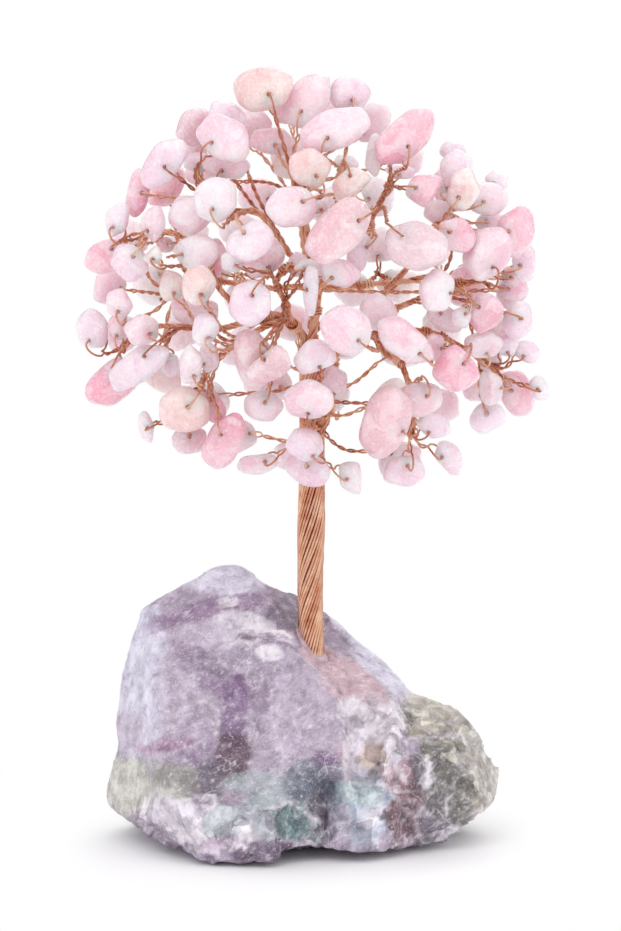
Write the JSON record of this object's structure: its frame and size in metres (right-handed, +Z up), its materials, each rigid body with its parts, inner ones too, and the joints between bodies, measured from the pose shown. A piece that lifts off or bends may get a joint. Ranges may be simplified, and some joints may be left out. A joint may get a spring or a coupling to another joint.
{
  "type": "gemstone tree ornament",
  "caption": "Table ornament: a small tree of drilled pink stone chips on folded copper wires, with a twisted wire trunk standing in a raw stone base.",
  "frame": {"origin": "where the trunk's axis meets the flat that the base stone rests on", "axes": "+Z up along the trunk, -Y towards the viewer of the front, +X to the viewer's right"},
  "size_m": [0.0846, 0.064, 0.1409],
  "materials": {
    "rose_quartz": "tumbled, glossy",
    "copper_wire": "bright drawn copper",
    "raw_stone": "raw broken stone",
    "adhesive": "clear, glossy"
  },
  "bodies": {
    "root": {"back_left_chips": "rose_quartz", "back_left_stem": "copper_wire", "back_left_wires": "copper_wire", "back_limb": "copper_wire", "back_lower_chips": "rose_quartz", "back_lower_stem": "copper_wire", "back_lower_wires": "copper_wire", "back_right_chips": "rose_quartz", "back_right_stem": "copper_wire", "back_right_wires": "copper_wire", "back_top_chips": "rose_quartz", "back_top_stem": "copper_wire", "back_top_wires": "copper_wire", "base_stone": "raw_stone", "centre_chips": "rose_quartz", "centre_stem": "copper_wire", "centre_wires": "copper_wire", "foot_adhesive": "adhesive", "left_chips": "rose_quartz", "left_limb": "copper_wire", "left_middle_chips": "rose_quartz", "left_middle_stem": "copper_wire", "left_middle_wires": "copper_wire", "left_stem": "copper_wire", "left_wires": "copper_wire", "lower_chips": "rose_quartz", "lower_left_chips": "rose_quartz", "lower_left_stem": "copper_wire", "lower_left_wires": "copper_wire", "lower_right_chips": "rose_quartz", "lower_right_stem": "copper_wire", "lower_right_wires": "copper_wire", "lower_stem": "copper_wire", "lower_wires": "copper_wire", "right_chips": "rose_quartz", "right_limb": "copper_wire", "right_middle_chips": "rose_quartz", "right_middle_stem": "copper_wire", "right_middle_wires": "copper_wire", "right_stem": "copper_wire", "right_upper_chips": "rose_quartz", "right_upper_stem": "copper_wire", "right_upper_wires": "copper_wire", "right_wires": "copper_wire", "top_chips": "rose_quartz", "top_left_chips": "rose_quartz", "top_left_stem": "copper_wire", "top_left_wires": "copper_wire", "top_limb": "copper_wire", "top_right_chips": "rose_quartz", "top_right_stem": "copper_wire", "top_right_wires": "copper_wire", "top_stem": "copper_wire", "top_wires": "copper_wire", "trunk_core": "copper_wire", "trunk_strands": "copper_wire", "upper_right_chips": "rose_quartz", "upper_right_stem": "copper_wire", "upper_right_wires": "copper_wire"}
  },
  "joints": []
}
